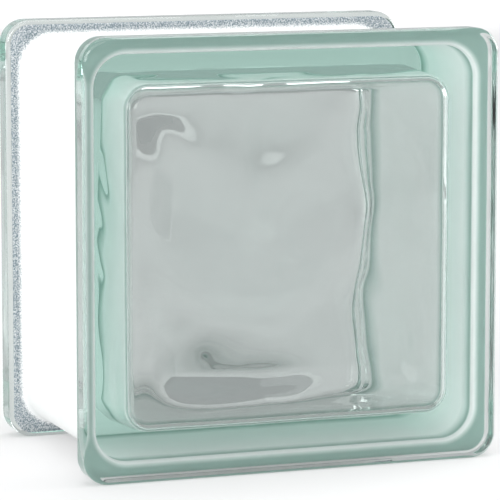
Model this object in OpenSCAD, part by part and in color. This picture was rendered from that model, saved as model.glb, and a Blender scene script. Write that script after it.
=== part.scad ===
// Hollow glass block, stood on its edge the way it is laid in a wall.
// Two pressed glass half shells meet face to face at mid depth, and a thin white
// coating covers the mortar channel that runs round the edge.
// X is the width, Y the depth (front face towards -Y) and Z the height; millimetres.
// The origin is at the middle of the footprint, on the floor.

/* [Overall size] */
// width of the faces, side to side
block_width = 146; // [120:1:300]
// height of the faces, from the edge it stands on to the top
block_height = 146; // [120:1:300]
// depth through the wall, outer face to outer face
block_depth = 98; // [78:1:125]

/* [Flange and mortar channel] */
// depth of the flange round each face, before the channel starts
flange_thickness = 10; // [7:0.5:14]
// radius of the four corners of each face, seen from the front
face_corner_radius = 8.5; // [6:0.5:12]
// rounding of the edge between a face and its flange
front_edge_radius = 2; // [1:0.25:3]
// rounding of the flange's other edge, at the channel
rear_edge_radius = 1.5; // [0.75:0.25:1.5]
// how far the channel floor lies in from the flange
channel_depth = 6; // [5:0.5:9]
// radius of the channel floor where it turns each corner
channel_corner_radius = 11; // [8:0.5:16]
// hollow rounding where the channel floor meets a flange
channel_fillet = 3; // [2:0.25:3]

/* [Glass] */
// thickness of a face along its border, where the waves have died out
face_thickness = 6; // [5:0.5:12]
// thickness of the side walls at the seam between the two halves
wall_thickness = 8; // [6:0.5:12]
// slope of the inner walls, in degrees, that lets the press tool out
wall_draft = 2.5; // [1:0.5:4]
// radius of the hollow's corners at the face end, seen from the front
hollow_corner_radius = 8; // [6.5:0.5:12]
// rounding inside, where the walls meet the faces
hollow_fillet = 5; // [3:0.5:6]

/* [Waves] */
// height of the waves on the inside of each face, low place to crest
wave_height = 4; // [1:0.2:5]
// distance from one wave to the next, going across the face
wave_pitch_across = 80; // [40:1:110]
// distance from one wave to the next, going up the face
wave_pitch_up = 56; // [40:1:100]
// how far the waves wander to the side on their way up
wander_across = 7; // [0:0.5:9]
// how far the waves wander up and down on their way across
wander_up = 10; // [0:0.5:13]
// width of the band along the walls where the waves die out
wave_fade = 14; // [8:1:18]
// rows and columns the wave surface is divided into
wave_steps = 27; // [21:2:41]

/* [Coating] */
// thickness of the white coating in the channel
coating_thickness = 0.4; // [0.2:0.1:0.8]

/* [Hidden] */
$fn = 64;
glass_colour = [0.72, 0.84, 0.79];
coating_colour = [0.95, 0.95, 0.94];
// the cutting solids run this far past what they cut, and added ones start this far inside
overlap = 1;
// the border of the wave surface lies this far inside the glass, and its low places this far
// above the flat floor round it, so that the two surfaces cross cleanly
wave_sink = 0.3;
// the length of one swing of the waves' wandering
wander_length_across = 56;
wander_length_up = 95;
// the part of the wave height that each wave train swings to either side
across_share = 0.2;
up_share = 0.3;
// where the wave trains and their wandering start on the front and the back, in degrees
front_start = [140, 341, 0, 143];
back_start = [75, 200, 110, 20];
// the coating stops this far short of the flange's rounded edge
coating_margin = 0.1;

half_width = block_width / 2;
half_height = block_height / 2;
half_depth = block_depth / 2;
// half sizes of the channel floor's outline
body_half_width = half_width - channel_depth;
body_half_height = half_height - channel_depth;
// the draft makes the hollow narrower at the face than at the seam
hollow_deep = half_depth - face_thickness;
draft_run = hollow_deep * tan(wall_draft);
hollow_half_width = body_half_width - wall_thickness - draft_run;
hollow_half_height = body_half_height - wall_thickness - draft_run;
// half sizes of the wave field: the flat floor inside the hollow's rounding
wave_half_width = hollow_half_width - hollow_fillet;
wave_half_height = hollow_half_height - hollow_fillet;

// Carries a profile once round a rounded rectangle. The profile's x is the distance
// outwards from the corner centres and its y is the depth, which becomes Z.
module swept_round(half_w, half_h, radius) {
    side_w = half_w - radius;
    side_h = half_h - radius;
    for (turn = [0, 90, 180, 270]) {
        across = (turn == 0 || turn == 180) ? side_w : side_h;
        along = (turn == 0 || turn == 180) ? side_h : side_w;
        rotate([0, 0, turn]) {
            translate([across, along, 0]) rotate_extrude(angle = 90) children();
            translate([across, along, 0]) rotate([90, 0, 0])
                linear_extrude(height = 2 * along) children();
        }
    }
}

// A rounded rectangle, centred.
module rounded_outline(half_w, half_h, radius) {
    square([2 * (half_w - radius), 2 * half_h], center = true);
    square([2 * half_w, 2 * (half_h - radius)], center = true);
    for (sx = [-1, 1], sy = [-1, 1])
        translate([sx * (half_w - radius), sy * (half_h - radius)]) circle(r = radius);
}

module rounded_prism(half_w, half_h, radius, height) {
    linear_extrude(height = height) rounded_outline(half_w, half_h, radius);
}

// Half section of the flange: both of its outer edges are rounded.
module flange_profile() {
    square([face_corner_radius - front_edge_radius, flange_thickness]);
    translate([0, front_edge_radius])
        square([face_corner_radius, flange_thickness - front_edge_radius - rear_edge_radius]);
    square([face_corner_radius - rear_edge_radius - overlap, flange_thickness]);
    translate([0, flange_thickness - rear_edge_radius - overlap])
        square([face_corner_radius - rear_edge_radius, rear_edge_radius + overlap]);
    translate([face_corner_radius - front_edge_radius, front_edge_radius])
        circle(r = front_edge_radius);
    translate([face_corner_radius - rear_edge_radius, flange_thickness - rear_edge_radius])
        circle(r = rear_edge_radius);
}

// The face plate with the flange round it, outer face at Z = 0.
module flange_plate() {
    swept_round(half_width, half_height, face_corner_radius)
        intersection() {
            flange_profile();
            square([face_corner_radius + overlap, flange_thickness]);
        }
    translate([face_corner_radius - half_width, face_corner_radius - half_height, 0])
        cube([block_width - 2 * face_corner_radius, block_height - 2 * face_corner_radius,
              flange_thickness]);
}

// The hollow rounding from the channel floor up to the back of the flange.
module channel_rounding() {
    swept_round(body_half_width, body_half_height, channel_corner_radius)
        difference() {
            translate([channel_corner_radius - overlap, flange_thickness - overlap])
                square([channel_fillet + overlap, channel_fillet + overlap]);
            translate([channel_corner_radius + channel_fillet, flange_thickness + channel_fillet])
                circle(r = channel_fillet);
        }
}

// Half section of the hollow: flat floor, rounding, sloped wall.
module hollow_profile() {
    rounding_x = hollow_corner_radius
        - hollow_fillet * (1 - sin(wall_draft)) / cos(wall_draft);
    rounding_y = face_thickness + hollow_fillet;
    top_y = half_depth + overlap;
    intersection() {
        union() {
            polygon([
                [0, face_thickness],
                [rounding_x, face_thickness],
                [rounding_x, rounding_y],
                [rounding_x + hollow_fillet * cos(wall_draft),
                 rounding_y - hollow_fillet * sin(wall_draft)],
                [hollow_corner_radius + (top_y - face_thickness) * tan(wall_draft), top_y],
                [0, top_y]
            ]);
            translate([rounding_x, rounding_y]) circle(r = hollow_fillet);
        }
        square([block_width, block_depth]);
    }
}

// What the press tool leaves open inside a half shell.
module hollow() {
    side_w = hollow_half_width - hollow_corner_radius;
    side_h = hollow_half_height - hollow_corner_radius;
    swept_round(hollow_half_width, hollow_half_height, hollow_corner_radius) hollow_profile();
    translate([-side_w, -side_h, face_thickness])
        cube([2 * side_w, 2 * side_h, hollow_deep + overlap]);
}

// One wave train, -1 to 1: where it is, its length and where it starts, in degrees.
function wave(at, length, begin) = sin(360 * at / length + begin);

// Height of the waves above the low places, 0 to 1, seen from the front: two wave trains
// that wander across each other. start holds where each train and its wandering begins.
function wave_shape(x, y, start) =
    let (
        shift_x = wander_across * wave(y, wander_length_across, start[2]),
        shift_y = wander_up * wave(x, wander_length_up, start[3])
    )
    0.5 + across_share * wave(x + shift_x, wave_pitch_across, start[0])
        + up_share * wave(y + shift_y, wave_pitch_up, start[1]);

// How much of the wave is left near the walls: 0 at the border, 1 past the fade band.
function fade(d) = let (t = min(1, max(0, d / wave_fade))) t * t * (3 - 2 * t);

// Height of the wave surface above the flat floor.
function wave_surface(x, y, start) =
    let (left = fade(wave_half_width - abs(x)) * fade(wave_half_height - abs(y)))
    left * (2 * wave_sink + wave_height * wave_shape(x, y, start)) - wave_sink;

// The waves stand on the flat inside of the face as one closed solid. side is -1 where the
// half shell is turned over in the width, so that start counts from the same side on both.
module wave_relief(side, start) {
    n = wave_steps;
    row = n + 1;
    step_w = 2 * wave_half_width / n;
    step_h = 2 * wave_half_height / n;
    top = [for (j = [0:n], i = [0:n])
        let (x = i * step_w - wave_half_width, y = j * step_h - wave_half_height)
        [x, y, face_thickness + wave_surface(side * x, y, start)]];
    low = face_thickness - wave_sink - overlap;
    base = [
        [-wave_half_width, -wave_half_height, low], [wave_half_width, -wave_half_height, low],
        [wave_half_width, wave_half_height, low], [-wave_half_width, wave_half_height, low]
    ];
    b = row * row;
    polyhedron(
        points = concat(top, base),
        faces = concat(
            [for (j = [0:n - 1], i = [0:n - 1]) let (k = j * row + i) [k, k + row, k + 1]],
            [for (j = [0:n - 1], i = [0:n - 1]) let (k = j * row + i) [k + 1, k + row, k + row + 1]],
            [[b, b + 1, b + 2, b + 3]],
            [concat([b + 1, b], [for (i = [0:n]) i])],
            [concat([b + 2, b + 1], [for (j = [0:n]) j * row + n])],
            [concat([b + 3, b + 2], [for (i = [0:n]) n * row + n - i])],
            [concat([b, b + 3], [for (j = [0:n]) (n - j) * row])]
        ),
        convexity = 6
    );
}

// One pressed half, lying on its outer face with the seam at Z = half the depth.
module half_shell(side, start) {
    difference() {
        union() {
            flange_plate();
            translate([0, 0, flange_thickness - overlap])
                rounded_prism(body_half_width, body_half_height, channel_corner_radius,
                              half_depth - flange_thickness + overlap);
            channel_rounding();
        }
        hollow();
    }
    wave_relief(side, start);
}

module front_shell() {
    color(glass_colour)
        translate([0, -half_depth, half_height]) rotate([90, 0, 180]) half_shell(-1, front_start);
}

module back_shell() {
    color(glass_colour)
        translate([0, half_depth, half_height]) rotate([90, 0, 0]) half_shell(1, back_start);
}

// Half section of the coating: along the channel floor, then round the hollow rounding.
module coating_profile() {
    rounding_x = channel_corner_radius + channel_fillet;
    rounding_y = flange_thickness + channel_fillet;
    translate([channel_corner_radius, rounding_y])
        square([coating_thickness, block_depth - 2 * rounding_y]);
    for (side = [0, 1])
        translate([0, side * block_depth]) mirror([0, side])
            intersection() {
                translate([rounding_x, rounding_y]) difference() {
                    circle(r = channel_fillet);
                    circle(r = channel_fillet - coating_thickness);
                }
                translate([channel_corner_radius, flange_thickness])
                    square([channel_fillet, channel_fillet]);
            }
}

// The coating on the back of a flange, from the hollow rounding out to the rounded edge.
module flange_coating() {
    inset = rear_edge_radius + coating_margin;
    translate([0, 0, flange_thickness])
        linear_extrude(height = coating_thickness) difference() {
            rounded_outline(half_width - inset, half_height - inset, face_corner_radius - inset);
            rounded_outline(body_half_width + channel_fillet, body_half_height + channel_fillet,
                            channel_corner_radius + channel_fillet);
        }
}

module edge_coating() {
    color(coating_colour)
        translate([0, -half_depth, half_height]) rotate([90, 0, 180]) {
            swept_round(body_half_width, body_half_height, channel_corner_radius)
                coating_profile();
            flange_coating();
            translate([0, 0, block_depth]) mirror([0, 0, 1]) flange_coating();
        }
}

front_shell();
back_shell();
edge_coating();
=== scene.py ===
# %% [markdown]
# # A hollow glass block
# A glass block is laid in a wall like a brick, but it lets light through. It is pressed as two
# shallow glass dishes that are fused rim to rim, so there is sealed air inside. Soft waves
# pressed into the inside of both faces blur the view, and a white coating in the channel round
# the edge grips the mortar.
#
# The solid model with the true sizes is loaded first and stays fixed. The lesson then builds
# finer glass over it, because glass shows every facet: light bends at each surface it meets.

# %% Load the solid model
import math

import bmesh
import bpy
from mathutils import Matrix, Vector


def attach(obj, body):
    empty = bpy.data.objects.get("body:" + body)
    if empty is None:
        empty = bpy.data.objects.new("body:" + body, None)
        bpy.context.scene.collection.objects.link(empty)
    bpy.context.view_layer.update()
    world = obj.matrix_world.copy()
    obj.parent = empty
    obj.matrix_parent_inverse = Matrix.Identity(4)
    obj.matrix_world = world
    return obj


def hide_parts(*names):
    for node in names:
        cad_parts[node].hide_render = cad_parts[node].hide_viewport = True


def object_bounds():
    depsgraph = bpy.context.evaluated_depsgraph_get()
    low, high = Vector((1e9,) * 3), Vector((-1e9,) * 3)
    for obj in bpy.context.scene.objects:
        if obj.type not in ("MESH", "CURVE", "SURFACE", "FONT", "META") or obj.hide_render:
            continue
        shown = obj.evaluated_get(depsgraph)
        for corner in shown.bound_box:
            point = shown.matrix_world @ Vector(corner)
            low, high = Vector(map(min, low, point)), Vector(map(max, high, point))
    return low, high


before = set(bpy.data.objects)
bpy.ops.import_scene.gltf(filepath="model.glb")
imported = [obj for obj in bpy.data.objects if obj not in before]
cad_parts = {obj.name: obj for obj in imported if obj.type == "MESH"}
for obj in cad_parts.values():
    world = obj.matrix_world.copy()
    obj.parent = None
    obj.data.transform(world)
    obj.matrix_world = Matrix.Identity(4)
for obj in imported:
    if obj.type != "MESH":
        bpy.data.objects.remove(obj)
cad_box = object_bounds()
print("solid model:", [round(v, 4) for corner in cad_box for v in corner])

# %% [markdown]
# ## The sizes of the block
# The overall sizes are read from the solid model, so the glass lands exactly on it. What can't
# be read from a box, such as the roundings, is named here once, in metres.

# %% Read and name the sizes
low, high = cad_box
half_width = (high.x - low.x) / 2
half_height = (high.z - low.z) / 2
half_depth = (high.y - low.y) / 2
middle = (low + high) / 2

flange = 0.010            # depth of the flange round each face
face_corner = 0.0085      # corner radius of a face
front_round = 0.002       # rounding between a face and its flange
rear_round = 0.0015       # rounding of the flange's edge at the channel
channel = 0.006           # how far the channel lies in from the flange
channel_corner = 0.011    # corner radius of the channel floor
channel_fillet = 0.003    # hollow rounding between channel floor and flange

face_glass = 0.0060       # thickness of a face along its border, where the waves have died out
wall_glass = 0.008        # thickness of the walls at the seam
draft = math.radians(2.5) # slope of the inner walls
hollow_corner = 0.008     # corner radius of the hollow at the face end
hollow_fillet = 0.005     # rounding inside, from wall to face
print("half sizes:", round(half_width, 4), round(half_depth, 4), round(half_height, 4))

# %% [markdown]
# ## Rings and skins
# Every surface of the block is a rounded rectangle that changes size as it goes through the
# depth. A stack of such rings, joined row by row, is called a loft. It could also be made with
# a bevelled cube, but a loft lets the flange and the channel have different corner radii, and
# it keeps the rows even, which smooth glass needs.

# %% A ring of points, and a skin over a stack of rings
CORNER_STEPS = 14
SIDE_STEPS = 36
CORNERS = [(1, 1), (-1, 1), (-1, -1), (1, -1)]    # upper right first, then anticlockwise


def ring(half_w, half_h, radius, y, scale=1.0):
    """Points round a rounded rectangle at one depth, seen from the front."""
    def on_corner(k, a):
        sx, sz = CORNERS[k % 4]
        return (sx * (half_w - radius) + radius * math.cos(a),
                sz * (half_h - radius) + radius * math.sin(a))
    points = []
    for k in range(4):
        for i in range(CORNER_STEPS + 1):
            points.append(on_corner(k, math.pi / 2 * (k + i / CORNER_STEPS)))
        start, end = points[-1], on_corner(k + 1, math.pi / 2 * (k + 1))
        for i in range(1, SIDE_STEPS):
            t = i / SIDE_STEPS
            points.append((start[0] + t * (end[0] - start[0]), start[1] + t * (end[1] - start[1])))
    return [Vector((middle.x + x * scale, middle.y + y, middle.z + z * scale)) for x, z in points]


def skin(mesh, rings, close_start=True, close_end=True):
    """Joins rings row by row; a closed end runs to one point in the middle."""
    rows = [[mesh.verts.new(p) for p in r] for r in rings]
    count = len(rows[0])
    faces = []
    for a, b in zip(rows, rows[1:]):
        for i in range(count):
            j = (i + 1) % count
            faces.append(mesh.faces.new((a[i], a[j], b[j], b[i])))
    for row, wanted in ((rows[0], close_start), (rows[-1], close_end)):
        if wanted:
            centre = mesh.verts.new(sum((v.co for v in row), Vector()) / count)
            for i in range(count):
                faces.append(mesh.faces.new((row[i], row[(i + 1) % count], centre)))
    return faces


print("points in a ring:", len(ring(half_width, half_height, face_corner, 0)))

# %% [markdown]
# ## The outside of the glass
# From the face backwards, the glass has a flat face, a rounded edge, the flange, a second
# rounded edge, and then a hollow rounding down into the mortar channel. The rows crowd together
# on each rounding, and one extra row lies beside it on the flat glass, so that the smooth
# shading of the curve doesn't bleed over the flat part. A bevel modifier could round the edges
# too, but the roundings differ in radius, and written rows say where each of them starts.

# %% The rows of the outer skin
ARC_STEPS = 10            # rows on the face's rounding and on the hollow rounding
SMALL_ARC_STEPS = 8       # rows on the small rounding behind the flange
beside_face = 0.0008      # how far the extra row lies from the rounding, on the face
beside_flange = 0.0005    # the same on the flange
beside_channel = 0.0006   # and on the channel floor


def arc(steps, start, end):
    """Angles in degrees from start to end, as sines and cosines."""
    for i in range(steps + 1):
        a = math.radians(start + (end - start) * i / steps)
        yield math.sin(a), math.cos(a)


def outer_rows():
    """(inset from the flange's outline, corner radius, depth from the face), face to channel."""
    rows = [(front_round + beside_face, face_corner - front_round - beside_face, 0.0)]
    for s, c in arc(ARC_STEPS, 0, 90):
        inset = front_round * (1 - s)
        rows.append((inset, face_corner - inset, front_round * (1 - c)))
    rows.append((0.0, face_corner, front_round + beside_flange))
    rows.append((0.0, face_corner, flange - rear_round - beside_flange))
    for s, c in arc(SMALL_ARC_STEPS, 90, 0):
        inset = rear_round * (1 - s)
        rows.append((inset, face_corner - inset, flange - rear_round * (1 - c)))
    # across the flat back of the flange to the channel, whose corners are rounder
    for s, c in arc(ARC_STEPS, 0, 90):
        rise = channel_fillet * (1 - s)
        rows.append((channel - rise, channel_corner + rise, flange + channel_fillet * (1 - c)))
    rows.append((channel, channel_corner, flange + channel_fillet + beside_channel))
    return rows


def both_halves(rows):
    """Rings from the front to the back: the rows of one half and their mirror image."""
    def half(side):
        return [ring(half_width - inset, half_height - inset, radius, side * (half_depth - depth))
                for inset, radius, depth in rows]
    return half(-1) + half(1)[::-1]


def outer_skin(mesh):
    return skin(mesh, both_halves(outer_rows()))


print("rows from face to channel:", len(outer_rows()))

# %% [markdown]
# ## The waves inside the faces
# The press tool leaves soft waves on the inside of each face. They are two wave trains that
# wander across each other. A displace modifier with a noise texture would look alike, but it
# would not match the solid model. A formula can be the same in both places: the finer glass
# here has the solid model's waves, less the 0.3 mm by which that model lifts them off its flat
# floor.

# %% The wave formula
wave_height = 0.004       # low place to crest
pitch_across = 0.080      # from one wave to the next, across the face
pitch_up = 0.056          # and up the face
share_across = 0.2        # the part of the height that a train swings to either side
share_up = 0.3
wander_across = 0.007     # how far the waves wander to the side on their way up
wander_up = 0.010         # and up and down on their way across
wander_length_across = 0.056    # the length of one swing of the wandering
wander_length_up = 0.095
wave_fade = 0.014         # the waves die out over this band along the walls
front_start = (140, 341, 0, 143)   # where each wave train and its wandering starts, degrees
back_start = (75, 200, 110, 20)


def wave(at, length, begin):
    """One wave train, -1 to 1: where it is, its length and where it starts, in degrees."""
    return math.sin(2 * math.pi * at / length + math.radians(begin))


def wave_shape(x, z, start):
    """Height of the waves from 0 to 1, seen from the front."""
    shift_x = wander_across * wave(z, wander_length_across, start[2])
    shift_z = wander_up * wave(x, wander_length_up, start[3])
    return (0.5 + share_across * wave(x + shift_x, pitch_across, start[0])
            + share_up * wave(z + shift_z, pitch_up, start[1]))


def fade(distance):
    """How much of the wave is left near the walls: 0 at the border, 1 past the fade band."""
    t = min(1.0, max(0.0, distance / wave_fade))
    return t * t * (3 - 2 * t)


print("wave at the middle:", round(wave_shape(0, 0, front_start), 3))

# %% [markdown]
# ## The hollow
# The inside of the block is a second closed skin. The walls slope a little, so the press tool
# can be drawn out, and meet the faces in a rounding. The floor of each half carries the waves.
# The hollow could be cut out with a boolean modifier, but a cut leaves long thin faces, and
# here every row follows the rounding.

# %% The inner skin
FLOOR_RINGS = 64
HOLLOW_ARC_STEPS = 12     # rows on the rounding from the floor to the wall
half_hollow_depth = half_depth - face_glass
slope_in = half_hollow_depth * math.tan(draft)    # how far a wall leans in, seam to face end
hollow_half_w = half_width - channel - wall_glass - slope_in
hollow_half_h = half_height - channel - wall_glass - slope_in
field_w, field_h = hollow_half_w - hollow_fillet, hollow_half_h - hollow_fillet


def hollow_half(side, start):
    """Rings from the middle of a face's inside out to the walls. side is -1 front, 1 back."""
    rounding = hollow_corner - hollow_fillet * (1 - math.sin(draft)) / math.cos(draft)
    straight_w, straight_h = hollow_half_w - hollow_corner, hollow_half_h - hollow_corner
    rings = []
    for i in range(1, FLOOR_RINGS + 1):
        flat = ring(straight_w + rounding, straight_h + rounding, rounding, 0, i / FLOOR_RINGS)
        for p in flat:
            x, z = p.x - middle.x, p.z - middle.z
            height = (fade(field_w - abs(x)) * fade(field_h - abs(z))
                      * wave_height * wave_shape(x, z, start))
            p.y = middle.y + side * (half_depth - face_glass - height)
        rings.append(flat)
    for s, c in list(arc(HOLLOW_ARC_STEPS, 0, 90 - math.degrees(draft)))[1:]:
        out = rounding + hollow_fillet * s
        depth = face_glass + hollow_fillet * (1 - c)
        rings.append(ring(straight_w + out, straight_h + out, out, side * (half_depth - depth)))
    return rings


def hollow_skin(mesh):
    front, back = hollow_half(-1, front_start), hollow_half(1, back_start)
    seam = ring(half_width - channel - wall_glass, half_height - channel - wall_glass,
                hollow_corner + slope_in, 0)
    return skin(mesh, front + [seam] + back[::-1])


print("rings in half the hollow:", len(hollow_half(-1, front_start)))

# %% [markdown]
# ## One piece of glass
# The two dishes are fused, so light meets no surface at the seam. Two shells that touch would
# show it as a false line, so both halves are one piece here: the outer skin faces outwards and
# the hollow's skin faces inwards, and what lies between them is glass. Blender then knows on
# which side of a surface the light is, and bends it the right way.

# %% Put both skins into one mesh
def finished(name, mesh, material):
    """Turns a bmesh into a smooth object that rides on the model."""
    data = bpy.data.meshes.new(name)
    mesh.to_mesh(data)
    mesh.free()
    for face in data.polygons:
        face.use_smooth = True
    piece = bpy.data.objects.new(name, data)
    bpy.context.scene.collection.objects.link(piece)
    data.materials.append(material)
    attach(piece, "root")
    print(name, len(data.polygons), "faces")
    return piece


glass_mesh = bmesh.new()
bmesh.ops.recalc_face_normals(glass_mesh, faces=outer_skin(glass_mesh))
inner_faces = hollow_skin(glass_mesh)
bmesh.ops.recalc_face_normals(glass_mesh, faces=inner_faces)
bmesh.ops.reverse_faces(glass_mesh, faces=inner_faces)
print("glass:", len(glass_mesh.faces), "faces,", len(inner_faces), "of them inside")

# %% [markdown]
# ## The glass
# Pressed glass is clear, with a green tint that only shows where light runs a long way through
# it, as at the rim. So the tint belongs inside the glass: a volume absorption takes a little
# red out of each centimetre, where a green surface colour would tint thin and thick parts alike.
# The surface itself only dims the light evenly, by a neutral grey. It is bright and smooth, with
# a faint unevenness left by the press, which a weak bump gives.

# %% The glass material
def new_material(name):
    material = bpy.data.materials.new(name)
    material.use_nodes = True
    nodes, links = material.node_tree.nodes, material.node_tree.links
    return material, nodes, links, nodes["Principled BSDF"]


def position():
    """Position on the object, which the noises and the depth are taken from."""
    return nodes.new("ShaderNodeTexCoord").outputs["Object"]


def noise(place, scale, detail=3.0, rough=0.6, distortion=0.0):
    node = nodes.new("ShaderNodeTexNoise")
    for socket, value in (("Scale", scale), ("Detail", detail), ("Roughness", rough),
                          ("Distortion", distortion)):
        node.inputs[socket].default_value = value
    links.new(place, node.inputs["Vector"])
    return node.outputs["Fac"]


def bump(height, strength, distance, before=None):
    """A bump from a height; strength is a number or a link, before the bump under it."""
    node = nodes.new("ShaderNodeBump")
    node.inputs["Distance"].default_value = distance
    if isinstance(strength, float):
        node.inputs["Strength"].default_value = strength
    else:
        links.new(strength, node.inputs["Strength"])
    links.new(height, node.inputs["Height"])
    if before is not None:
        links.new(before, node.inputs["Normal"])
    return node.outputs["Normal"]


pressed_glass, nodes, links, surface = new_material("pressed_green_glass")
surface.inputs["Base Color"].default_value = (0.72, 0.73, 0.727, 1)
surface.inputs["Transmission Weight"].default_value = 1.0
surface.inputs["Roughness"].default_value = 0.0
surface.inputs["IOR"].default_value = 1.52

tint = nodes.new("ShaderNodeVolumeAbsorption")
tint.inputs["Color"].default_value = (0.30, 0.80, 0.66, 1)
tint.inputs["Density"].default_value = 8.0
links.new(tint.outputs["Volume"], nodes["Material Output"].inputs["Volume"])

place = position()
all_over = bump(noise(place, 38.0, 1.0, 0.5), 0.12, 0.001)
print("glass material:", pressed_glass.name)

# %% [markdown]
# ## Ripples in the hollow
# The inside of a pressed block is less even than its flat faces: small ripples run over the
# waves and walls, and they bend the light into short bright lines. More and finer rows in the
# mesh could carry them, but a second bump is lighter. It starts half a face's thickness in from
# each face, so the faces stay flat. It isn't limited to the hollow: the rim of the flange and the
# channel get it too.

# %% Add the ripples and make the glass
def math_node(operation, a, b=None):
    node = nodes.new("ShaderNodeMath")
    node.operation = operation
    for socket, value in zip(node.inputs, (a, b)):
        if isinstance(value, (int, float)):
            socket.default_value = value
        elif value is not None:
            links.new(value, socket)
    return node.outputs[0]


def depth_out(place):
    """Distance from the seam, the same towards either face."""
    split = nodes.new("ShaderNodeSeparateXYZ")
    links.new(place, split.inputs["Vector"])
    return math_node("ABSOLUTE", split.outputs["Y"])


behind_face = math_node("LESS_THAN", depth_out(place), half_depth - face_glass / 2)
ripples = noise(place, 26.0, 0.6, 0.5, 0.6)
links.new(bump(ripples, behind_face, 0.003, all_over), surface.inputs["Normal"])

glass = finished("block_glass", glass_mesh, pressed_glass)
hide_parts("front_shell", "back_shell")

# %% [markdown]
# ## The white coating
# The coating is a paint that keeps mortar and glass together. It lies directly on the glass with
# no air between, so from inside the walls look white. To get that contact here, the coating
# starts a hair inside the glass surface instead of exactly on it, where two surfaces in the same
# place would flicker. Its skin follows the rows of the channel, lifted off the glass by its
# thickness. A solidify modifier on a copy of the channel would do too, but one function for both
# sides leaves the thickness and the contact as one number each.

# %% The coating's skin
coat = 0.0004             # thickness of the coating
contact = 0.00006         # how far its underside reaches into the glass
coat_edge = rear_round + 0.0001    # where it stops, in from the flange's outline


def coating_rows(lift):
    """Rows of the coating, lifted off the glass by lift, from the flange to the channel floor."""
    rows = [(coat_edge, face_corner - coat_edge, flange + lift)]
    for s, c in arc(ARC_STEPS, 0, 90):
        radius = channel_fillet - lift
        rise = channel_fillet - radius * s
        rows.append((channel - rise, channel_corner + rise, flange + channel_fillet - radius * c))
    rows.append((channel - lift, channel_corner + lift, flange + channel_fillet + beside_channel))
    return rows


def coating_skin(mesh):
    outside, inside = both_halves(coating_rows(coat)), both_halves(coating_rows(-contact))
    faces = skin(mesh, outside + inside[::-1] + [outside[0]], False, False)
    per_row = len(faces) // (2 * len(outside))
    for face in faces[len(outside) * per_row:]:
        face.material_index = 1      # the underside, which shows through the glass


coating_mesh = bmesh.new()
coating_skin(coating_mesh)
bmesh.ops.remove_doubles(coating_mesh, verts=coating_mesh.verts, dist=1e-7)
bmesh.ops.recalc_face_normals(coating_mesh, faces=coating_mesh.faces)
print("coating:", len(coating_mesh.faces), "faces")

# %% [markdown]
# ## The paint
# The paint is a matt white. It is thin and broken where it was wiped off the back of the
# flanges, so the grey of the glass shows there in speckles, and a few dark grains stick in it.
# An image of a painted edge could be wrapped round, but the speckles follow the depth in the
# block, so they are mixed from the position and a noise, and they never stretch or repeat.

# %% The coating material
def let_light_through(surface):
    """Thin paint lets part of the light through, so the walls glow inside the block."""
    surface.inputs["Subsurface Weight"].default_value = 1.0
    surface.inputs["Subsurface Radius"].default_value = (1.0, 1.0, 1.0)
    surface.inputs["Subsurface Scale"].default_value = 0.002


def ramp(value, *stops):
    node = nodes.new("ShaderNodeValToRGB")
    links.new(value, node.inputs["Fac"])
    elements = node.color_ramp.elements
    while len(elements) < len(stops):
        elements.new(0.5)
    for element, (at, colour) in zip(elements, stops):
        element.position = at
        element.color = (*colour, 1)
    return node.outputs["Color"]


def mix(amount, a, b):
    node = nodes.new("ShaderNodeMix")
    node.data_type = "RGBA"
    for socket, value in (("Factor", amount), ("A", a), ("B", b)):
        if isinstance(value, tuple):
            node.inputs[socket].default_value = (*value, 1)
        else:
            links.new(value, node.inputs[socket])
    return node.outputs["Result"]


BLACK, WHITE = (0, 0, 0), (1, 1, 1)
white_coating, nodes, links, surface = new_material("white_edge_coating")
surface.inputs["Roughness"].default_value = 0.7
let_light_through(surface)
place = position()

# 0 where the hollow rounding leaves the channel floor, 1 at the back of the flange
rounding_start = half_depth - flange - channel_fillet
up_the_rounding = math_node(
    "DIVIDE", math_node("SUBTRACT", depth_out(place), rounding_start), channel_fillet)
speckle = math_node("MULTIPLY", math_node("SUBTRACT", noise(place, 2000), 0.5), 0.7)
thin = ramp(math_node("ADD", up_the_rounding, speckle), (0.66, BLACK), (0.93, WHITE))

paint = ramp(noise(place, 60), (0.35, (0.77, 0.78, 0.78)), (0.65, (0.84, 0.84, 0.84)))
grain = ramp(noise(place, 330, 1.0, 0.3), (0.16, WHITE), (0.18, BLACK))
colour = mix(thin, paint, (0.11, 0.155, 0.18))
colour = mix(grain, colour, (0.16, 0.20, 0.24))
links.new(colour, surface.inputs["Base Color"])
links.new(bump(noise(place, 700), 0.25, 0.0004), surface.inputs["Normal"])
print("paint:", white_coating.name)

# %% [markdown]
# ## The underside of the paint
# The underside is what shows through the glass, so it is a material of its own. It is even,
# because the paint wetted the glass all over, with only a faint cloudiness. Painted shade darkens
# it on the flange and just behind the hollow rounding, and a painted highlight keeps the rounding
# pale. That gives the green rim its darker bands and its pale line, and it is set by the distance
# from the face. Glass also pipes light along its walls by many small bounces. Following them all
# would make a render much longer, so a weak painted glow stands in for them.

# %% Make the underside and the coating
coating_underside, nodes, links, surface = new_material("coating_underside")
surface.inputs["Roughness"].default_value = 0.8
# a weak painted glow, standing in for light piped along the glass
surface.inputs["Emission Strength"].default_value = 0.21
let_light_through(surface)
place = position()
shaded_depth = 0.030      # the shading is spread over this depth from each face
near_face = math_node(
    "DIVIDE", math_node("SUBTRACT", half_depth, depth_out(place)), shaded_depth)
# painted light by depth: painted shade on the flange and just behind the hollow rounding, a
# painted highlight on the rounding itself
shade = ramp(near_face, (0.335, WHITE), (0.37, BLACK), (0.42, BLACK), (0.50, WHITE),
             (0.85, BLACK))
cloudy = ramp(noise(place, 45), (0.35, (0.92, 0.96, 0.95)), (0.65, (0.96, 0.98, 0.975)))
# the dark green is the painted shade; the cloudy white is left where the painted highlight lies
under = mix(shade, cloudy, (0.27, 0.39, 0.355))
links.new(under, surface.inputs["Base Color"])
# the painted glow takes the underside's colour, painted shade included
links.new(under, surface.inputs["Emission Color"])

coating = finished("edge_coating_skin", coating_mesh, white_coating)
coating.data.materials.append(coating_underside)
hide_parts("edge_coating")

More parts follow.
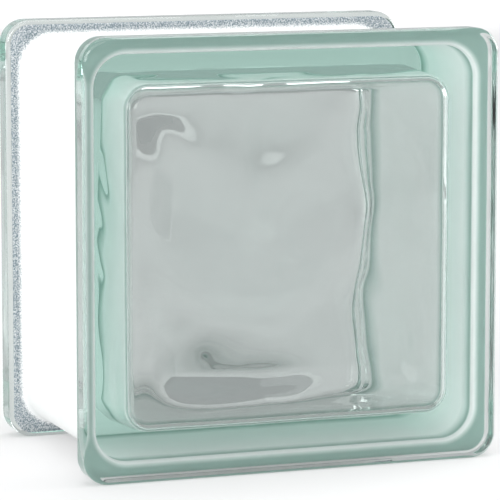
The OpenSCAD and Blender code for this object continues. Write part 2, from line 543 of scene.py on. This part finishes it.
# %% [markdown]
# ## The floor
# Glass shows whatever stands round it, so a clear block needs a clean, pale floor. A plain large
# grid is enough. It glows a little, as the floor of a light tent does, because otherwise hardly
# any light would reach the underside of the block, and its lower wall would look dark.

# %% Lay the floor
floor_mesh = bmesh.new()
bmesh.ops.create_grid(floor_mesh, x_segments=2, y_segments=2, size=30)
floor_data = bpy.data.meshes.new("floor")
floor_mesh.to_mesh(floor_data)
floor_mesh.free()
floor = bpy.data.objects.new("floor", floor_data)
bpy.context.scene.collection.objects.link(floor)
floor.location.z = low.z
pale_floor, nodes, links, surface = new_material("pale_floor")
surface.inputs["Base Color"].default_value = (0.52, 0.52, 0.52, 1)
surface.inputs["Roughness"].default_value = 0.9
surface.inputs["Emission Color"].default_value = (1.0, 1.0, 1.0, 1)
surface.inputs["Emission Strength"].default_value = 0.30
floor_data.materials.append(pale_floor)
print("floor at", round(floor.location.z, 4))

# %% [markdown]
# ## The light
# Glass only looks like glass when it has something to reflect and bend. An evenly pale sky gives
# it light from everywhere; a picture of a studio could do that too, but one colour needs no file.
# Four wide soft lights add the rest: the key from the left whitens the channel, one beside the
# block on the right lights the inner wall that is seen through the face, one in front reaches
# into the hollow, and a weak one hangs above. A spot brightens only the far floor. One strong
# lamp would be simpler, but its small image would glare in every wave.

# %% The sky and the lights
sky = bpy.data.worlds.new("soft_sky")
bpy.context.scene.world = sky
sky.use_nodes = True
sky.node_tree.nodes["Background"].inputs["Color"].default_value = (0.80, 0.81, 0.82, 1)
sky.node_tree.nodes["Background"].inputs["Strength"].default_value = 0.76


def hang(light, place, aim):
    """Hangs a light at a place and turns it towards its aim."""
    lamp = bpy.data.objects.new(light.name, light)
    bpy.context.scene.collection.objects.link(lamp)
    lamp.location = place
    lamp.rotation_euler = (Vector(aim) - Vector(place)).to_track_quat("-Z", "Y").to_euler()
    print(light.name, "at", place)


def soft_light(name, place, width, height, power):
    light = bpy.data.lights.new(name, "AREA")
    light.shape = "RECTANGLE"
    light.size, light.size_y = width, height
    light.energy = power
    hang(light, place, middle)


soft_light("key_softbox", (-1.8, -1.3, 0.9), 2.0, 1.2, 44)
soft_light("right_softbox", (1.9, 0.3, 0.6), 1.6, 1.0, 29)
soft_light("front_softbox", (-0.6, -1.9, 1.6), 2.4, 1.4, 20)
soft_light("top_softbox", (0.0, 0.0, 2.0), 1.4, 1.0, 10)

backdrop = bpy.data.lights.new("backdrop_spot", "SPOT")
backdrop.energy = 100
backdrop.spot_size, backdrop.spot_blend = math.radians(62), 0.5
backdrop.shadow_soft_size = 0
hang(backdrop, (0.8, 3.0, 1.6), (0.9, 2.7, 0))

# %% [markdown]
# ## The camera
# A long lens from about a metre away, a little to the left and above, shows the face, the left
# side and a narrow strip of the top. A wide lens close by would fit the block in as well, but the
# near edges would look far larger than the far ones.

# %% The camera
camera_data = bpy.data.cameras.new("camera")
camera = bpy.data.objects.new("camera", camera_data)
bpy.context.scene.collection.objects.link(camera)
turn, rise = math.radians(-20.3), math.radians(7.95)
distance = 1.12
right_of_middle, below_middle = 0.0019, 0.0049      # where the camera aims
back = Vector((math.sin(turn) * math.cos(rise), -math.cos(turn) * math.cos(rise), math.sin(rise)))
across = Vector((math.cos(turn), math.sin(turn), 0))
upward = back.cross(across)
aim = middle + across * right_of_middle - upward * below_middle
camera.location = aim + back * distance
camera.rotation_euler = (-back).to_track_quat("-Z", "Y").to_euler()
camera_data.sensor_width = 36
camera_data.lens = 235
bpy.context.scene.camera = camera
bpy.context.scene.view_settings.view_transform = "Standard"
print("camera at", [round(v, 3) for v in camera.location])
